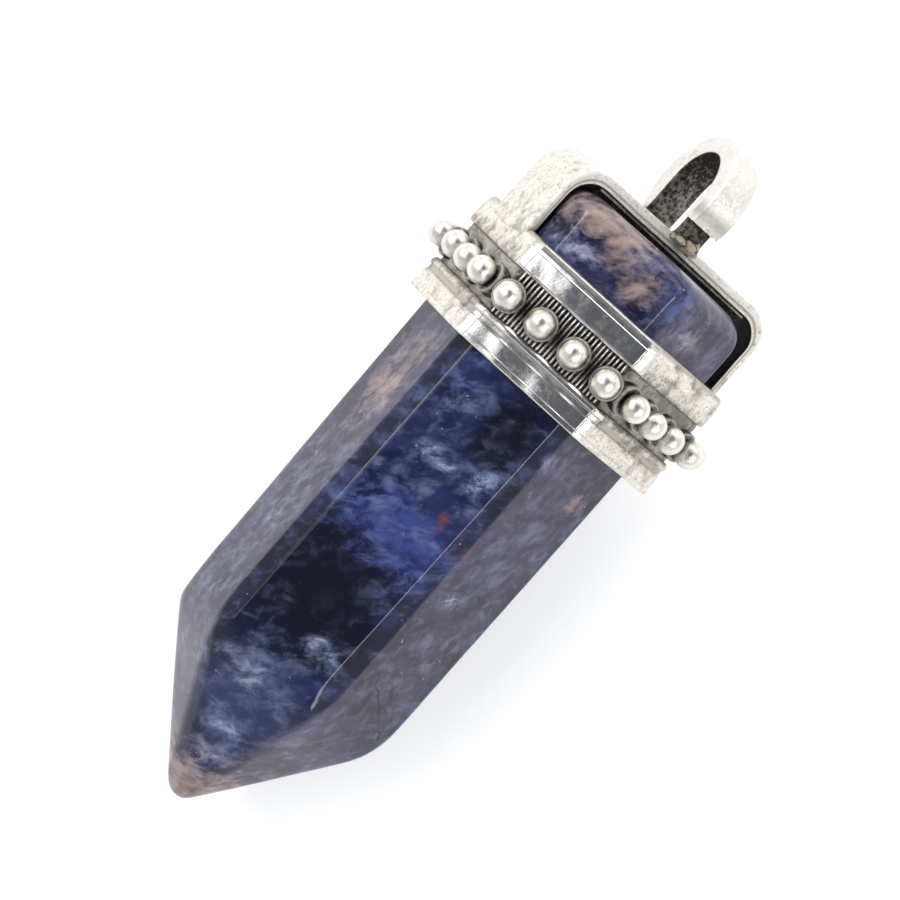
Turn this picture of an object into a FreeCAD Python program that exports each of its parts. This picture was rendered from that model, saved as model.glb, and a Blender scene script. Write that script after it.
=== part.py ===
import FreeCAD, Part
import math
import os

# Crystal point pendant: a six-sided stone point held in a one-piece cast cap with a bail.
# It is modelled upright first: +Z along the pendant, from the stone's tip at z = 0 up to the
# bail's top, with the front facet facing -Y. Then it is laid down as it rests by itself.
# Angles round the axis are counted from the front facet and grow towards the right.
# Sizes are in millimetres and angles in degrees.

# Heights above the tip
COLLAR_LOW_Z = 37.75
CHANNEL_LOW_Z = 40.35
BEAD_Z = 41.9
CHANNEL_HIGH_Z = 43.8
COLLAR_HIGH_Z = 46.2
STONE_TOP_Z = 51.0
STRAP_UNDER_Z = 51.5
STRAP_TOP_Z = 52.5
BAIL_LEDGE_Z = 54.0
BAIL_HOLE_TOP_Z = 58.5
BAIL_TOP_Z = 60.0

# The stone's flats and the narrow bevels between them, hand cut and so a little uneven.
# Columns: angle round the axis, distance from the axis at the collar, taper to the tip
STONE_SIDES = (
    (0, 8.30, 0.5),
    (30, 9.07, 0.4),
    (60, 7.98, -0.4),
    (90, 9.00, -0.7),
    (120, 8.05, -0.3),
    (150, 9.06, 0.3),
    (180, 8.30, 0.5),
    (210, 9.14, 0.8),
    (240, 8.42, 1.2),
    (270, 9.24, 2.0),
    (300, 8.50, 1.1),
    (330, 9.26, 0.8),
)
# The facets of the point, one below each flat.
# Columns: angle round the axis, slope from the axis
POINT_FACETS = (
    (0, 33.0),
    (60, 31.0),
    (120, 31.0),
    (180, 33.0),
    (240, 34.3),
    (300, 34.3),
)
SECTOR = 60.0
HALF_BEND = 45.0
APEX_OFFSET = 0.8
APEX_Z = -0.95
POINT_EDGE_WEAR = 0.22
SHOULDER_WEAR = 0.26
TIP_RADIUS = 1.15
TIP_SLOPES = (50.0, 70.0)
CROWN_RADIUS = 1.7
CROWN_SLOPES = (30.0, 60.0)

# Collar of the cast cap: two smooth borders with a ribbed channel and a row of beads between
STONE_CLEARANCE = 0.12
COLLAR_INRADIUS = 9.65
LOWER_BORDER_EXTRA = 0.1
CORNER_CUT = 0.49
RIM_EDGE = 0.3
CHANNEL_EDGE = 0.15
CHANNEL_FLOOR = 9.22
RIBS_PER_FACET = 29
RIB_PITCH = 0.33
RIB_HEIGHT = 0.16
RIB_FOOT = 0.24
RIB_CREST = 0.12
BEADS_PER_FACET = 4
BEAD_PITCH = 2.96
BEAD_RADIUS = 1.03
BEAD_DISTANCE = 10.66
BEAD_SIDES = 12
BEAD_BANDS = 6
SEAT_RADIUS = 1.2
SEAT_ROOT = 9.0
SEAT_TOP = 9.9

# Strap over the stone's flat end, from one facet to the opposite one
STRAP_ANGLE = -60.0
STRAP_WIDTH = 6.2
STRAP_INNER = 8.98
STRAP_CORNER = 2.6
STRAP_INNER_CORNER = 1.9
STRAP_ROOT_Z = 45.4

# Bail: a broad ring standing on the strap, its hole running from leg to leg of the strap.
# One side of the ring is set back below a ledge.
BAIL_RADIUS = 4.5
BAIL_WIDTH = 2.56
BAIL_EDGE = 0.35
BAIL_HOLE_RADIUS = 2.6
BAIL_ROOT = 0.3
NECK_HALF = 3.45

# Size that reaches past the whole pendant, for the outlines and blocks that cut it
BIG = 80.0
# Corners nearer to each other than this are one corner
SAME_PLACE = 1e-5

UP = FreeCAD.Vector(0, 0, 1)
CENTRE = FreeCAD.Vector(0, 0, 0)


def outward(angle, slope=0.0):
    """Outward normal at an angle round the axis, leaning towards the tip by a slope."""
    turn = math.radians(angle)
    lean = math.radians(slope)
    level = math.cos(lean)
    return FreeCAD.Vector(math.sin(turn) * level, -math.cos(turn) * level, -math.sin(lean))


def along(angle):
    """Direction along a facet, to the right as seen from outside."""
    turn = math.radians(angle)
    return FreeCAD.Vector(math.cos(turn), math.sin(turn), 0)


def turned(shape, angle):
    """Turn a shape built with its outward direction along +X to an angle round the axis."""
    copy = shape.copy()
    copy.rotate(CENTRE, UP, angle - 90.0)
    return copy


def side_plane(side, clearance=0.0):
    """Plane of a flat or bevel of the stone, set out by a clearance."""
    angle, distance, taper = side
    normal = outward(angle, taper)
    point = outward(angle) * distance + UP * COLLAR_LOW_Z
    return point + normal * clearance, normal


def shoulder_plane(index):
    """Plane that softens the edge between a flat and the facet of the point below it."""
    angle, slope = POINT_FACETS[index]
    side = STONE_SIDES[2 * index]
    distance, taper = side[1], side[2]
    apex_reach = APEX_OFFSET * math.sin(math.radians(angle))
    slant = math.tan(math.radians(slope))
    drift = math.tan(math.radians(taper))
    # the flat and the facet meet where both are at the same distance from the axis
    height = distance - apex_reach - (COLLAR_LOW_Z - APEX_Z) * drift
    shoulder_z = APEX_Z + height / (slant - drift)
    reach = apex_reach + (shoulder_z - APEX_Z) * slant
    normal = outward(angle, (slope + taper) / 2)
    point = outward(angle) * reach + UP * shoulder_z
    return point - normal * SHOULDER_WEAR, normal


def clip(outline, plane):
    """Part of a flat outline that lies inside a plane."""
    point, normal = plane
    depths = [(corner - point).dot(normal) for corner in outline]
    kept = []
    for index, corner in enumerate(outline):
        depth = depths[index]
        next_depth = depths[(index + 1) % len(outline)]
        if depth <= 0:
            kept.append(corner)
        if depth * next_depth < 0:
            step = outline[(index + 1) % len(outline)] - corner
            kept.append(corner + step * (depth / (depth - next_depth)))
    return kept


def without_repeats(outline):
    """An outline with no two neighbouring corners in the same place."""
    kept = []
    for index, corner in enumerate(outline):
        if (corner - outline[index - 1]).Length > SAME_PLACE:
            kept.append(corner)
    return kept


def convex_solid(planes):
    """The solid inside all of the planes, each a point on it and its outward normal."""
    faces = []
    for plane in planes:
        point, normal = plane
        turn = FreeCAD.Rotation(UP, normal)
        corners = ((-BIG, -BIG), (BIG, -BIG), (BIG, BIG), (-BIG, BIG))
        outline = [point + turn.multVec(FreeCAD.Vector(x, y, 0)) for x, y in corners]
        for other in planes:
            if other is not plane:
                outline = clip(outline, other)
        outline = without_repeats(outline)
        if len(outline) > 2:
            faces.append(Part.Face(Part.makePolygon(outline + outline[:1])))
    shell = Part.makeShell(faces)
    shell.sewShape()
    return Part.makeSolid(shell)


def stone_sides(low_z, high_z, clearance):
    """Planes of the stone's flats and bevels, with a level plane at either end."""
    planes = [(UP * low_z, UP * -1), (UP * high_z, UP)]
    planes += [side_plane(side, clearance) for side in STONE_SIDES]
    return planes


def make_stone():
    """The stone: a bevelled six-sided bar with a blunt point and a softened flat end."""
    planes = stone_sides(0.0, STONE_TOP_Z, 0.0)
    apex = FreeCAD.Vector(APEX_OFFSET, 0, APEX_Z)
    tip_centre = FreeCAD.Vector(APEX_OFFSET, 0, TIP_RADIUS)
    for index, (angle, slope) in enumerate(POINT_FACETS):
        next_slope = POINT_FACETS[(index + 1) % len(POINT_FACETS)][1]
        mean_slant = math.tan(math.radians((slope + next_slope) / 2))
        edge_slope = math.degrees(math.atan(mean_slant / math.cos(math.radians(SECTOR / 2))))
        edge_normal = outward(angle + SECTOR / 2, edge_slope)
        planes.append((apex, outward(angle, slope)))
        planes.append((apex - edge_normal * POINT_EDGE_WEAR, edge_normal))
        planes.append(shoulder_plane(index))
        for tip_slope in TIP_SLOPES:
            tip_normal = outward(angle, tip_slope)
            planes.append((tip_centre + tip_normal * TIP_RADIUS, tip_normal))
    for angle, distance, taper in STONE_SIDES:
        reach = distance + (STONE_TOP_Z - COLLAR_LOW_Z) * math.tan(math.radians(taper))
        crown_centre = outward(angle) * (reach - CROWN_RADIUS) + UP * (STONE_TOP_Z - CROWN_RADIUS)
        for crown_slope in CROWN_SLOPES:
            crown_normal = outward(angle, -crown_slope)
            planes.append((crown_centre + crown_normal * CROWN_RADIUS, crown_normal))
    return convex_solid(planes)


def hexagon(inradius, height):
    """Closed outline of a hexagon with cut corners at a height."""
    half = inradius * math.tan(math.radians(SECTOR / 2)) - CORNER_CUT
    points = []
    for angle, _ in POINT_FACETS:
        middle = outward(angle) * inradius + UP * height
        points.append(middle - along(angle) * half)
        points.append(middle + along(angle) * half)
    return Part.makePolygon(points + points[:1])


def border(inradius, low_z, high_z, low_edge, high_edge):
    """A smooth hexagonal border with its two outer edges cut back."""
    sections = (
        hexagon(inradius - low_edge, low_z),
        hexagon(inradius, low_z + low_edge),
        hexagon(inradius, high_z - high_edge),
        hexagon(inradius - high_edge, high_z),
    )
    return Part.makeLoft(list(sections), True, True)


def ribbed_core():
    """The channel's floor with its upright ribs, from border to border."""
    half = CHANNEL_FLOOR * math.tan(math.radians(SECTOR / 2)) - CORNER_CUT
    low_z = CHANNEL_LOW_Z - CHANNEL_EDGE
    high_z = CHANNEL_HIGH_Z + CHANNEL_EDGE
    points = []
    for angle, _ in POINT_FACETS:
        floor = outward(angle) * CHANNEL_FLOOR + UP * low_z
        crest = floor + outward(angle) * RIB_HEIGHT
        points.append(floor - along(angle) * half)
        for rib in range(RIBS_PER_FACET):
            middle = (rib - (RIBS_PER_FACET - 1) / 2) * RIB_PITCH
            points.append(floor + along(angle) * (middle - RIB_FOOT / 2))
            points.append(crest + along(angle) * (middle - RIB_CREST / 2))
            points.append(crest + along(angle) * (middle + RIB_CREST / 2))
            points.append(floor + along(angle) * (middle + RIB_FOOT / 2))
        points.append(floor + along(angle) * half)
    outline = Part.Face(Part.makePolygon(points + points[:1]))
    return outline.extrude(UP * (high_z - low_z))


def ring_of_corners(distance, radius):
    """Corners of a bead's ring, square to +X at a distance from the axis."""
    corners = []
    for side in range(BEAD_SIDES):
        turn = 2 * math.pi * side / BEAD_SIDES
        corners.append(FreeCAD.Vector(distance, radius * math.cos(turn), radius * math.sin(turn)))
    return corners


def seated_bead():
    """A faceted ball bead on its round seat, standing out along +X."""
    rings = []
    for band in range(1, BEAD_BANDS):
        turn = math.pi * band / BEAD_BANDS
        distance = BEAD_DISTANCE + BEAD_RADIUS * math.cos(turn)
        rings.append(ring_of_corners(distance, BEAD_RADIUS * math.sin(turn)))
    pole = [FreeCAD.Vector(BEAD_DISTANCE + BEAD_RADIUS, 0, 0)] * BEAD_SIDES
    root = [FreeCAD.Vector(BEAD_DISTANCE - BEAD_RADIUS, 0, 0)] * BEAD_SIDES
    rings = [pole] + rings + [root]
    faces = []
    for upper, lower in zip(rings, rings[1:]):
        for side in range(BEAD_SIDES):
            corners = [upper[side], upper[side - 1], lower[side - 1], lower[side]]
            corners = without_repeats(corners)
            faces.append(Part.Face(Part.makePolygon(corners + corners[:1])))
    shell = Part.makeShell(faces)
    shell.sewShape()
    ball = Part.makeSolid(shell)
    rim = ring_of_corners(SEAT_ROOT, SEAT_RADIUS)
    seat = Part.Face(Part.makePolygon(rim + rim[:1]))
    seat = seat.extrude(FreeCAD.Vector(SEAT_TOP - SEAT_ROOT, 0, 0))
    return seat.fuse(ball)


def make_beads():
    """The row of ball beads round the channel, evenly spaced round its corners too."""
    bead = seated_bead()
    beads = []
    for angle, _ in POINT_FACETS:
        for place in range(BEADS_PER_FACET):
            shift = (place - (BEADS_PER_FACET - 1) / 2) * BEAD_PITCH
            placed = bead.copy()
            placed.translate(FreeCAD.Vector(0, shift, BEAD_Z))
            beads.append(turned(placed, angle))
    return beads


def arch(half, corner, low_z, high_z):
    """Outline in the X-Z plane of an upright panel with two rounded top corners."""
    bend = corner * (1 - math.cos(math.radians(HALF_BEND)))
    bottom_left = FreeCAD.Vector(-half, 0, low_z)
    bottom_right = FreeCAD.Vector(half, 0, low_z)
    side_left = FreeCAD.Vector(-half, 0, high_z - corner)
    side_right = FreeCAD.Vector(half, 0, high_z - corner)
    top_left = FreeCAD.Vector(corner - half, 0, high_z)
    top_right = FreeCAD.Vector(half - corner, 0, high_z)
    mid_left = FreeCAD.Vector(bend - half, 0, high_z - bend)
    mid_right = FreeCAD.Vector(half - bend, 0, high_z - bend)
    edges = [
        Part.makeLine(bottom_left, side_left),
        Part.Arc(side_left, mid_left, top_left).toShape(),
        Part.makeLine(top_left, top_right),
        Part.Arc(top_right, mid_right, side_right).toShape(),
        Part.makeLine(side_right, bottom_right),
        Part.makeLine(bottom_right, bottom_left),
    ]
    return Part.Face(Part.Wire(edges))


def make_strap():
    """The strap: two legs up from the collar and a plate over the stone's flat end."""
    across = FreeCAD.Vector(0, STRAP_WIDTH, 0)
    outer = arch(COLLAR_INRADIUS, STRAP_CORNER, STRAP_ROOT_Z, STRAP_TOP_Z).extrude(across)
    inner = arch(STRAP_INNER, STRAP_INNER_CORNER, STRAP_ROOT_Z, STRAP_UNDER_Z).extrude(across)
    strap = outer.cut(inner)
    strap.translate(across * -0.5)
    return turned(strap, STRAP_ANGLE)


def make_bail():
    """The bail: a broad ring on the strap, with a level ledge on one side."""
    through = FreeCAD.Vector(1, 0, 0)
    ring_z = BAIL_TOP_Z - BAIL_RADIUS
    hole_z = BAIL_HOLE_TOP_Z - BAIL_HOLE_RADIUS
    root_z = STRAP_TOP_Z - BAIL_ROOT
    start = FreeCAD.Vector(-BAIL_WIDTH / 2, 0, ring_z)
    ring = Part.makeCylinder(BAIL_RADIUS, BAIL_WIDTH, start, through)
    rims = [edge for edge in ring.Edges if len(edge.Vertexes) == 1]
    ring = ring.makeChamfer(BAIL_EDGE, rims)
    below = Part.makeBox(BIG, BIG, BIG, FreeCAD.Vector(-BIG / 2, -BIG / 2, root_z - BIG))
    setback = Part.makeBox(BIG, BIG, BIG, FreeCAD.Vector(-BIG / 2, NECK_HALF, BAIL_LEDGE_Z - BIG))
    hole_start = FreeCAD.Vector(-BAIL_WIDTH, 0, hole_z)
    hole = Part.makeCylinder(BAIL_HOLE_RADIUS, 2 * BAIL_WIDTH, hole_start, through)
    slot_corner = FreeCAD.Vector(-BAIL_WIDTH, -BAIL_HOLE_RADIUS, STRAP_TOP_Z)
    slot = Part.makeBox(2 * BAIL_WIDTH, 2 * BAIL_HOLE_RADIUS, hole_z - STRAP_TOP_Z, slot_corner)
    ring = ring.cut(below.fuse(setback)).cut(hole.fuse(slot))
    return turned(ring, STRAP_ANGLE)


def make_cap():
    """The cast cap in one piece: collar, ribs, beads, strap and bail."""
    lower_inradius = COLLAR_INRADIUS + LOWER_BORDER_EXTRA
    lower = border(lower_inradius, COLLAR_LOW_Z, CHANNEL_LOW_Z, RIM_EDGE, CHANNEL_EDGE)
    upper = border(COLLAR_INRADIUS, CHANNEL_HIGH_Z, COLLAR_HIGH_Z, CHANNEL_EDGE, RIM_EDGE)
    collar = ribbed_core().fuse([lower, upper])
    collar = collar.fuse(make_beads())
    collar = collar.cut(convex_solid(stone_sides(0.0, STONE_TOP_Z, STONE_CLEARANCE)))
    cap = collar.fuse([make_strap(), make_bail()])
    return cap.removeSplitter()


def resting_tilt():
    """Tilt of the axis when the pendant lies on its back beads and on the back shoulder."""
    back = len(POINT_FACETS) // 2
    side_point, side_normal = side_plane(STONE_SIDES[2 * back])
    worn_point, worn_normal = shoulder_plane(back)
    # the edge where the back flat meets the worn shoulder, in the plane through the axis
    side_offset = side_point.dot(side_normal)
    worn_offset = worn_point.dot(worn_normal)
    turn = side_normal.y * worn_normal.z - side_normal.z * worn_normal.y
    edge_y = (side_offset * worn_normal.z - worn_offset * side_normal.z) / turn
    edge_z = (side_normal.y * worn_offset - worn_normal.y * side_offset) / turn
    run = BEAD_Z - edge_z
    rise = BEAD_DISTANCE - edge_y
    reach = math.hypot(run, rise)
    tilt = math.atan2(rise, run) + math.asin(BEAD_RADIUS / reach)
    return math.degrees(tilt)


def lay_down(solids):
    """Lay the pendant on its back beads and shoulder, bail towards +Y, origin below centre."""
    tilt = resting_tilt()
    laid = []
    for solid in solids:
        copy = solid.copy()
        copy.rotate(CENTRE, FreeCAD.Vector(1, 0, 0), tilt - 90.0)
        laid.append(copy)
    box = Part.makeCompound(laid).optimalBoundingBox(False, False)
    shift = FreeCAD.Vector(-box.Center.x, -box.Center.y, -box.ZMin)
    for solid in laid:
        solid.translate(shift)
    print("tilt %.3f, shift %.4f %.4f %.4f" % (tilt, shift.x, shift.y, shift.z))
    return laid


NODES = ("crystal_point", "cast_cap")

os.makedirs("parts", exist_ok=True)
shapes = lay_down([make_stone(), make_cap()])
for name, shape in zip(NODES, shapes):
    solid = shape if shape.ShapeType == "Solid" else shape.Solids[0]
    print(name, len(shape.Solids), "solid,", len(solid.Faces), "faces,", "%.1f mm3" % solid.Volume)
    solid.exportStep("parts/" + name + ".step")
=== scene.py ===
import math

import bpy
import numpy as np
from mathutils import Matrix


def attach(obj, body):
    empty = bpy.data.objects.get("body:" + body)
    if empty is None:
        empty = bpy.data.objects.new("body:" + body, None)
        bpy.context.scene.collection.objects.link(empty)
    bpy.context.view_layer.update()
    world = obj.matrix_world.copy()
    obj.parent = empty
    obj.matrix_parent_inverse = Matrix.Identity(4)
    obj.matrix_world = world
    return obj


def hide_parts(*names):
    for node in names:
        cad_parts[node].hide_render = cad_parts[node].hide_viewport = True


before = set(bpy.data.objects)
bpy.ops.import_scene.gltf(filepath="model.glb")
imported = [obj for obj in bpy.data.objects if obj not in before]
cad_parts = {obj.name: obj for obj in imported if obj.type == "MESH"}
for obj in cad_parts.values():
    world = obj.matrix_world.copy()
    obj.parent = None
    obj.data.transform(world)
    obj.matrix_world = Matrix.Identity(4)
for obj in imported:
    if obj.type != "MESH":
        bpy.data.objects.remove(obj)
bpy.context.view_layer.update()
scene = bpy.context.scene

# Everything is shaped upright in millimetres, as the CAD part is: Z runs from the stone's tip
# to the bail's top and the front facet faces -Y. laid() then puts it where the pendant lies.
TILT = math.radians(6.995 - 90.0)
LAID_SHIFT = np.array((0.0, -29.8052, 6.5077))
MM = 0.001
FACETS = range(0, 360, 60)
SLANTED_FACETS = (60, 300)

# Heights above the stone's tip
COLLAR_LOW_Z = 37.75
CHANNEL_LOW_Z = 40.35
BEAD_Z = 41.9
CHANNEL_HIGH_Z = 43.8
COLLAR_HIGH_Z = 46.2
STONE_TOP_Z = 51.0
STRAP_UNDER_Z = 51.5
STRAP_TOP_Z = 52.5
BAIL_LEDGE_Z = 54.0
BAIL_TOP_Z = 60.0
BAIL_HOLE_TOP_Z = 58.5

# Stone's flats and bevels: angle round the axis, distance from it at the collar, taper
STONE_SIDES = (
    (0, 8.30, 0.5),
    (30, 9.07, 0.4),
    (60, 7.98, -0.4),
    (90, 9.00, -0.7),
    (120, 8.05, -0.3),
    (150, 9.06, 0.3),
    (180, 8.30, 0.5),
    (210, 9.14, 0.8),
    (240, 8.42, 1.2),
    (270, 9.24, 2.0),
    (300, 8.50, 1.1),
    (330, 9.26, 0.8),
)
# Point's facets: angle round the axis, slope from it
POINT_FACETS = ((0, 33.0), (60, 31.0), (120, 31.0), (180, 33.0), (240, 34.3), (300, 34.3))
APEX = np.array((0.8, 0.0, -0.95))
EDGE_WEAR = 0.22
SHOULDER_WEAR = 0.26
TIP_RADIUS = 1.15
CROWN_RADIUS = 1.7
TIP_SLOPES = (45.0, 60.0, 75.0)
CROWN_SLOPES = (-22.5, -45.0, -67.5)
# Shoulders: share of the turn from a flat to its point facet, share of the wear
SHOULDER_STEPS = ((0.25, 0.8), (0.5, 1.0), (0.75, 0.8))
# How crisp the edges are inside each group of planes, and between the groups
GROUP_CRISPNESS = (42.0, 10.0, 7.0, 7.0, 8.0)
STONE_CRISPNESS = 11.0

# Cap: sizes and places in millimetres, angles in degrees
COLLAR_INRADIUS = 9.65
CORNER_CUT = 0.49
CHANNEL_FLOOR = 9.22
STONE_CLEARANCE = 0.12
RIBS_PER_FACET = 29
RIB_PITCH = 0.33
RIB_HEIGHT = 0.16
BEAD_PITCH = 2.96
BEAD_RADIUS = 1.03
BEAD_DISTANCE = 10.66
SEAT_RADIUS = 1.2
STRAP_ANGLE = -60.0
STRAP_WIDTH = 6.2
STRAP_INNER = 8.98
BAIL_RADIUS = 4.5
BAIL_WIDTH = 2.56
BAIL_HOLE_RADIUS = 2.6
NECK_HALF = 3.45
NECK_WIDTH = 2.1
NECK_EDGE = 0.16
STRAP_EDGE = 0.14
BAIL_EDGE = 0.24
BEADS_PER_FACET = 4
RESTING_FACET = 180
STRAP_FOOT_Z = 45.3
STRAP_OUTER_CORNER = 2.6
STRAP_INNER_CORNER = 1.9
PLATE_GROOVES = (-3.9, 3.6)
GROOVE_DEPTH = 0.09
GROOVE_WIDTH = 0.14
# Half sizes of the slab of painted shade in the slit under the plate, and of the metal lip
SLIT_SHADE_HALVES = (7.4, 2.2)
LIP_HALVES = (7.289, 2.794)

# How finely the shapes are divided, and up to what angle their faces are smooth
TIP_ROWS_Z = 2.0
CROWN_ROWS_Z = 47.0
LONGEST_RAY = 15.0
HALVINGS = 22
BEND_STEPS = 4
LONGEST_STEP = 0.2
LEG_POINTS = 18
BEND_POINTS = 14
PLATE_POINTS = 60
SMOOTH_BELOW = 40.0

# How grey the stone is painted on each facet: a painted reflection of the pale surround, strongest
# on the two slanted front facets
FACET_GREY_SHEEN = {0: 0.0, 60: 1.0, 120: 0.55, 180: 0.55, 240: 0.55, 300: 0.95}
# How matte the cast skin is on each facet: polished in front, grainy on the slanted ones
FACET_MATTE = {0: 0.0, 60: 1.0, 120: 0.8, 180: 0.35, 240: 0.8, 300: 0.95}

random = np.random.default_rng(7)


def outward(angle, slope=0.0):
    """Unit vector away from the axis, sloped down towards the tip."""
    turn = np.radians(angle)
    lean = np.radians(slope)
    level = np.cos(lean)
    return np.stack(
        np.broadcast_arrays(np.sin(turn) * level, -np.cos(turn) * level, -np.sin(lean)), axis=-1
    )


def along(angle):
    """Unit vector round the axis, towards a viewer's right."""
    turn = np.radians(angle)
    return np.stack((np.cos(turn), np.sin(turn), np.zeros_like(turn)), axis=-1)


def laid(points):
    """Upright points in millimetres, put where the pendant lies, in metres."""
    c, s = math.cos(TILT), math.sin(TILT)
    x, y, z = points[:, 0], points[:, 1], points[:, 2]
    return (np.stack((x, y * c - z * s, y * s + z * c), axis=1) + LAID_SHIFT) * MM


def step(x, low, high):
    """0 below low and 1 above high, with a smooth rise between."""
    t = np.clip((x - low) / (high - low), 0.0, 1.0)
    return t * t * (3 - 2 * t)


def waves(points, length, seed, count=7):
    """Smooth even unevenness from -1 to 1, with about the given wavelength."""
    pick = np.random.default_rng(seed)
    total = np.zeros(len(points))
    for _ in range(count):
        direction = pick.normal(size=3)
        direction /= np.linalg.norm(direction)
        stretch = length * pick.uniform(0.7, 1.5)
        total += np.sin(points @ direction * (2 * math.pi / stretch) + pick.uniform(0, 2 * math.pi))
    return total / math.sqrt(count) / 1.6


class Shell:
    """Points and faces of one piece, with a value at each point for its material."""

    def __init__(self):
        self.points, self.faces, self.values, self.count = [], [], {}, 0

    def add(self, points, faces, **values):
        """Adds points and faces. A value that isn't given is 0 there."""
        points = np.asarray(points, float).reshape(-1, 3)
        for name in sorted(set(self.values) | set(values)):
            filled = self.values.setdefault(name, [np.zeros(self.count)] if self.count else [])
            filled.append(np.broadcast_to(values.get(name, 0.0), (len(points),)))
        self.points.append(points)
        self.faces.append([tuple(int(i) + self.count for i in face) for face in faces])
        self.count += len(points)

    def build(self, name, material):
        """Makes the piece in the scene, with its values as attributes."""
        points = np.concatenate(self.points)
        faces = [face for group in self.faces for face in group]
        mesh = bpy.data.meshes.new(name)
        mesh.from_pydata(laid(points).tolist(), [], faces)
        mesh.validate()
        mesh.shade_smooth()
        mesh.set_sharp_from_angle(angle=math.radians(SMOOTH_BELOW))
        upright = mesh.attributes.new("upright", "FLOAT_VECTOR", "POINT")
        upright.data.foreach_set("vector", points.astype(np.float32).ravel())
        for key, parts in self.values.items():
            layer = mesh.attributes.new(key, "FLOAT", "POINT")
            layer.data.foreach_set("value", np.concatenate(parts).astype(np.float32))
        mesh.materials.append(material)
        piece = bpy.data.objects.new(name, mesh)
        scene.collection.objects.link(piece)
        return piece


def grid(rows, columns, flip=False):
    """Quads between rows of points, each row a closed ring."""
    faces = []
    for row in range(rows - 1):
        for column in range(columns):
            a = row * columns + column
            b = row * columns + (column + 1) % columns
            quad = (a, b, b + columns, a + columns)
            faces.append(quad[::-1] if flip else quad)
    return faces


def cap_ends(rows, columns, flip=False):
    """The two faces that close the first and the last ring."""
    first = tuple(range(columns))
    last = tuple(range((rows - 1) * columns, rows * columns))
    return [first, last[::-1]] if flip else [first[::-1], last]


def plane_set(points, normals):
    """Planes as their normals and their distances from the origin."""
    points, normals = np.atleast_2d(points), np.atleast_2d(normals)
    return normals, (points * normals).sum(axis=1)


def soft_max(values, sharpness):
    """The largest value, blended where two are near each other."""
    top = values.max(axis=0)
    return top + np.log(np.exp(sharpness * (values - top)).sum(axis=0)) / sharpness


def point_planes():
    """The point's six facets, then the planes that wear their edges."""
    facets, worn = [], []
    for index, (turn, slope) in enumerate(POINT_FACETS):
        following = POINT_FACETS[(index + 1) % 6][1]
        edge_slant = math.tan(math.radians((slope + following) / 2)) / math.cos(math.radians(30))
        edge = outward(turn + 30.0, math.degrees(math.atan(edge_slant)))
        facets.append((APEX, outward(turn, slope)))
        worn.append((APEX - edge * EDGE_WEAR, edge))
    return facets + worn


def shoulder_planes():
    """Planes that round the edge between each flat and its point facet."""
    planes = []
    for index, (turn, slope) in enumerate(POINT_FACETS):
        _, distance, taper = STONE_SIDES[2 * index]
        reach = APEX[0] * math.sin(math.radians(turn))
        slant = math.tan(math.radians(slope))
        drift = math.tan(math.radians(taper))
        height = (distance - reach - (COLLAR_LOW_Z - APEX[2]) * drift) / (slant - drift)
        place = outward(turn) * (reach + height * slant) + np.array((0, 0, APEX[2] + height))
        for share, wear in SHOULDER_STEPS:
            normal = outward(turn, taper + (slope - taper) * share)
            planes.append((place - normal * SHOULDER_WEAR * wear, normal))
    return planes


def tip_planes():
    """The blunt tip: planes that touch one ball, and a level one at its end."""
    centre = np.array((APEX[0], 0.0, TIP_RADIUS))
    planes = []
    for turn, _ in POINT_FACETS:
        for slope in TIP_SLOPES:
            for normal in (outward(turn, slope), outward(turn + 30.0, slope)):
                planes.append((centre + normal * TIP_RADIUS, normal))
    planes.append((np.zeros(3), np.array((0.0, 0.0, -1.0))))
    return planes


def crown_planes():
    """The flat upper end, then the planes that soften its shoulders."""
    planes = [(np.array((0, 0, STONE_TOP_Z)), np.array((0.0, 0.0, 1.0)))]
    for turn, distance, taper in STONE_SIDES:
        reach = distance + (STONE_TOP_Z - COLLAR_LOW_Z) * math.tan(math.radians(taper))
        centre = outward(turn) * (reach - CROWN_RADIUS)
        centre = centre + np.array((0, 0, STONE_TOP_Z - CROWN_RADIUS))
        for slope in CROWN_SLOPES:
            normal = outward(turn, slope)
            planes.append((centre + normal * CROWN_RADIUS, normal))
    return planes


def stone_planes():
    """The stone's planes in five groups: sides, point, shoulders, tip and crown."""
    angle, distance, taper = np.array(STONE_SIDES).T
    bases = outward(angle) * distance[:, None] + np.array((0, 0, COLLAR_LOW_Z))
    groups = [plane_set(bases, outward(angle, taper))]
    for planes in (point_planes(), shoulder_planes(), tip_planes(), crown_planes()):
        groups.append(plane_set([place for place, _ in planes], [normal for _, normal in planes]))
    return groups


def stone_field(points, groups):
    """How far each point is outside the stone, with its edges worn soft."""
    parts = []
    for (normals, offsets), crispness in zip(groups, GROUP_CRISPNESS):
        parts.append(soft_max(normals @ points.T - offsets[:, None], crispness))
    worn = waves(points, 9.0, 11) * 0.016 + waves(points, 3.5, 12) * 0.004
    return soft_max(np.array(parts), STONE_CRISPNESS) + worn


def stone_angles():
    """Angles round the stone, closer together at the edges of its bevels."""
    spread = [np.arange(0.0, 360.0, 2.0)]
    for flat in FACETS:
        for edge in (flat - 25.0, flat + 25.0):
            spread.append(edge + np.arange(-2.4, 2.5, 0.4))
    return np.unique(np.round(np.concatenate(spread) % 360.0, 2))


def stone_rows():
    """Where each row of rays starts, as (x, z), and its slope: tip, sides, then crown."""
    rows = [((APEX[0], TIP_ROWS_Z), lean) for lean in np.linspace(89.5, 3.0, 18)]
    point = np.arange(TIP_ROWS_Z, 16.5, 0.3)
    bar = np.arange(16.5, 46.0, 0.75)
    for level in np.concatenate((point, bar, np.arange(46.0, CROWN_ROWS_Z, 0.25))):
        shift = APEX[0] * (1.0 - step(np.array(level), 3.0, 13.0))
        rows.append(((float(shift), level), 0.0))
    rows += [((0.0, CROWN_ROWS_Z), -lean) for lean in np.linspace(0.0, 89.5, 34)]
    return rows


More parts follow.
